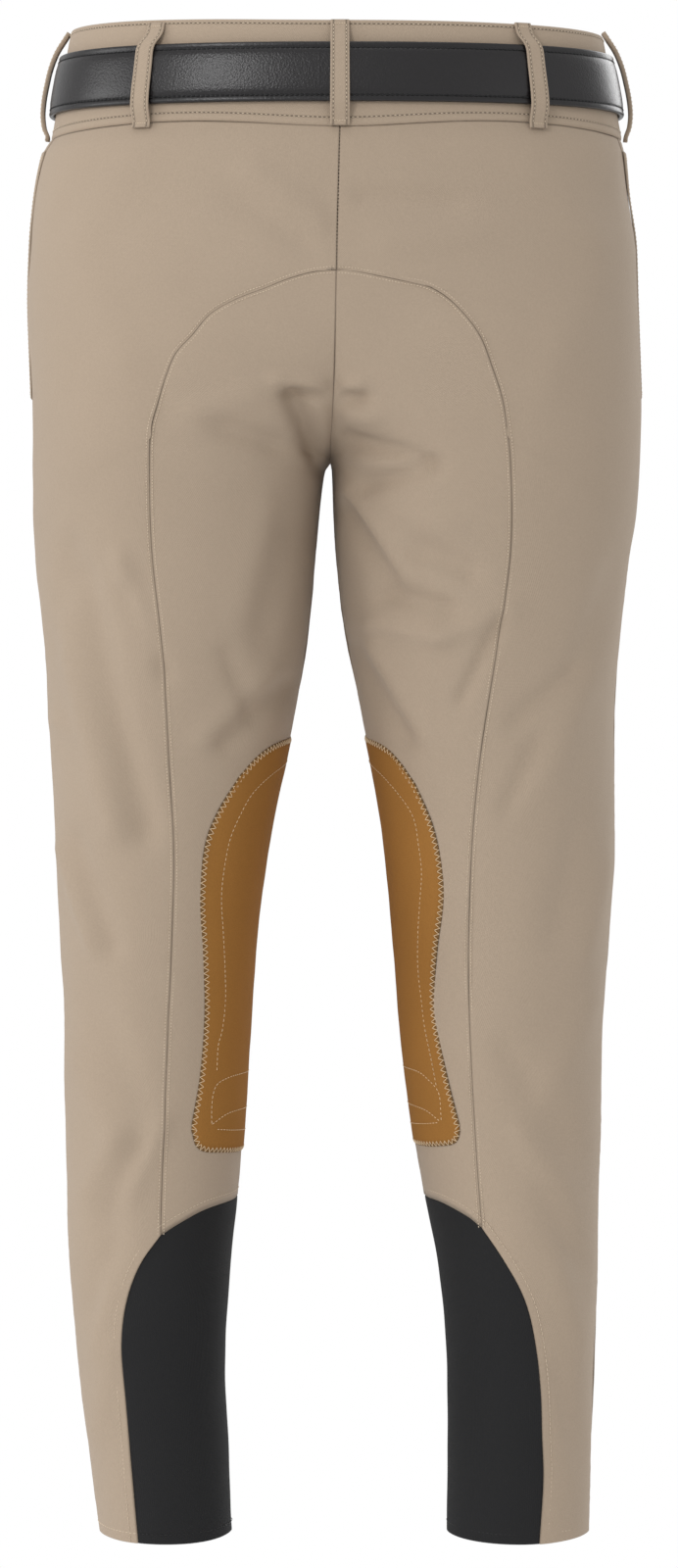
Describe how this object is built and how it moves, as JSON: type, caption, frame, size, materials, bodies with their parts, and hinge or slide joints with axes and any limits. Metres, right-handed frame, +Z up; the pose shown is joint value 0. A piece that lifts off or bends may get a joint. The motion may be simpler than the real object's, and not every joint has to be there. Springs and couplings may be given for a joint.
{
  "type": "riding breeches with belt",
  "caption": "Riding breeches worn on a plain leather belt, with an arched seat seam, suede knee patches and black stretch calf panels.",
  "frame": {"origin": "middle of the waist opening at the middle height of the belt, where the wearer holds the breeches up", "axes": "+Z up out of the waist, +X to the wearer's left, -Y to the front, where the fly and buckle are"},
  "size_m": [0.3775, 0.2557, 0.9203],
  "materials": {
    "breeches_cloth": "fine matt twill with a little stretch",
    "stretch_knit": "smooth matt black jersey",
    "suede_patch": "napped suede",
    "belt_leather": "grained black leather with a soft gloss",
    "buckle_metal": "satin"
  },
  "bodies": {
    "root": {"waistband_left": "breeches_cloth", "waistband_right": "breeches_cloth", "front_left": "breeches_cloth", "front_right": "breeches_cloth", "back_left": "breeches_cloth", "back_right": "breeches_cloth", "seat_left": "breeches_cloth", "seat_right": "breeches_cloth", "pocket_mouth_left": "breeches_cloth", "pocket_mouth_right": "breeches_cloth", "fly_lap": "breeches_cloth", "loop_back_center": "breeches_cloth", "loop_back_left": "breeches_cloth", "loop_back_right": "breeches_cloth", "loop_side_left": "breeches_cloth", "loop_side_right": "breeches_cloth", "loop_front_left": "breeches_cloth", "loop_front_right": "breeches_cloth", "calf_left": "stretch_knit", "calf_right": "stretch_knit", "knee_patch_left": "suede_patch", "knee_patch_right": "suede_patch", "belt_strap": "belt_leather", "belt_keeper": "belt_leather", "buckle_frame": "buckle_metal", "buckle_prong": "buckle_metal"}
  },
  "joints": []
}
